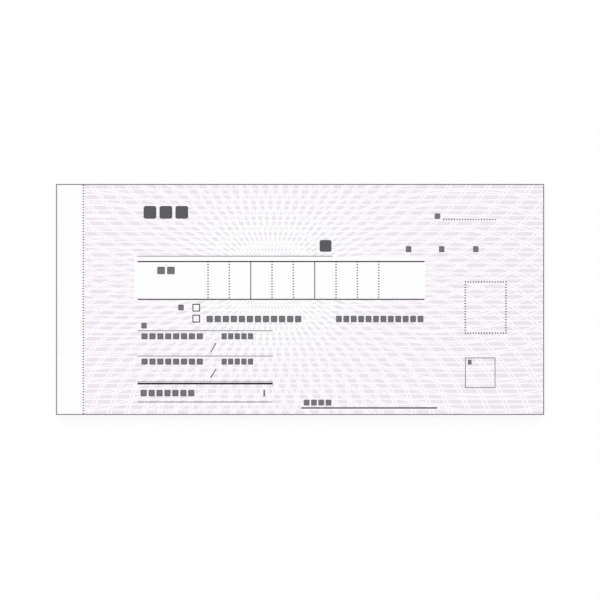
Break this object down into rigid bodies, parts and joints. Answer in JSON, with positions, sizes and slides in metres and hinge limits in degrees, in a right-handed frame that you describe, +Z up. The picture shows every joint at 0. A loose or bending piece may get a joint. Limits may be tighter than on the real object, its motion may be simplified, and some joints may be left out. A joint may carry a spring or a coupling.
{
  "type": "receipt book",
  "caption": "Flat oblong receipt book of carbonless triplicate sets, glued at the left edge in a wrap-around card cover, with tear-off plies and a loose writing shield.",
  "frame": {"origin": "middle of the bottom of the bounding box, on the surface that the book lies on", "axes": "+X along the form from the spine to the free edge, +Y up the form, +Z up out of the top sheet"},
  "size_m": [0.1776, 0.084, 0.0101],
  "materials": {
    "receipt_paper": "uncoated white paper with a pale lilac security tint",
    "copy_paper": "uncoated carbonless paper, pale blue tint",
    "slip_paper": "uncoated carbonless paper, pale pink tint",
    "set_paper": "stacked carbonless paper, guillotined edges",
    "cover_card": "embossed slate-blue cover card, white inside",
    "shield_card": "smooth stiff buff card",
    "grey_board": "grey chipboard",
    "padding_glue": "dried white padding glue"
  },
  "bodies": {
    "book": {"back_cover": "cover_card", "cover_spine": "cover_card", "backing_board": "grey_board", "spine_glue": "padding_glue", "receipt_stub": "receipt_paper", "copy_stub": "copy_paper", "slip_stub": "slip_paper", "set_02_stub": "set_paper", "set_03": "set_paper", "set_04": "set_paper", "set_05": "set_paper", "set_06": "set_paper", "set_07": "set_paper", "set_08": "set_paper", "set_09": "set_paper", "set_10": "set_paper", "set_11": "set_paper", "set_12": "set_paper", "set_13": "set_paper", "set_14": "set_paper", "set_15": "set_paper", "set_16": "set_paper", "set_17": "set_paper", "set_18": "set_paper", "set_19": "set_paper", "set_20": "set_paper", "set_21": "set_paper", "set_22": "set_paper", "set_23": "set_paper", "set_24": "set_paper", "set_25": "set_paper", "set_26": "set_paper", "set_27": "set_paper", "set_28": "set_paper", "set_29": "set_paper", "set_30": "set_paper", "set_31": "set_paper", "set_32": "set_paper", "set_33": "set_paper", "set_34": "set_paper", "set_35": "set_paper", "set_36": "set_paper", "set_37": "set_paper", "set_38": "set_paper", "set_39": "set_paper", "set_40": "set_paper"},
    "cover_strip": {"cover_hinge_strip": "cover_card"},
    "cover_panel": {"front_cover": "cover_card"},
    "next_set": {"set_02_sheets": "set_paper"},
    "shield": {"writing_shield": "shield_card"},
    "slip": {"slip_sheet": "slip_paper"},
    "copy": {"copy_sheet": "copy_paper"},
    "receipt": {"receipt_sheet": "receipt_paper"}
  },
  "joints": [
    {"name": "cover_fold", "type": "hinge", "parent": "book", "child": "cover_strip", "pos_m": [-0.0888, 0, 0.01014], "axis": [0, -1, 0], "range_deg": [-270, 0]},
    {"name": "cover_turn", "type": "hinge", "parent": "cover_strip", "child": "cover_panel", "pos_m": [-0.08852, 0, 0.00028], "axis": [0, -1, 0], "range_deg": [-90, 0]},
    {"name": "next_set_turn", "type": "hinge", "parent": "book", "child": "next_set", "pos_m": [-0.07885, 0, 0.01009], "axis": [0, -1, 0], "range_deg": [0, 30]},
    {"name": "shield_slide", "type": "slide", "parent": "next_set", "child": "shield", "axis": [1, 0, 0], "range_m": [0, 0.16]},
    {"name": "slip_turn", "type": "hinge", "parent": "next_set", "child": "slip", "pos_m": [-0.07885, 0, 0.01009], "axis": [0, -1, 0], "range_deg": [0, 30]},
    {"name": "copy_turn", "type": "hinge", "parent": "slip", "child": "copy", "pos_m": [-0.07885, 0, 0.01009], "axis": [0, -1, 0], "range_deg": [0, 40]},
    {"name": "receipt_turn", "type": "hinge", "parent": "copy", "child": "receipt", "pos_m": [-0.07885, 0, 0.01009], "axis": [0, -1, 0], "range_deg": [0, 75]}
  ]
}
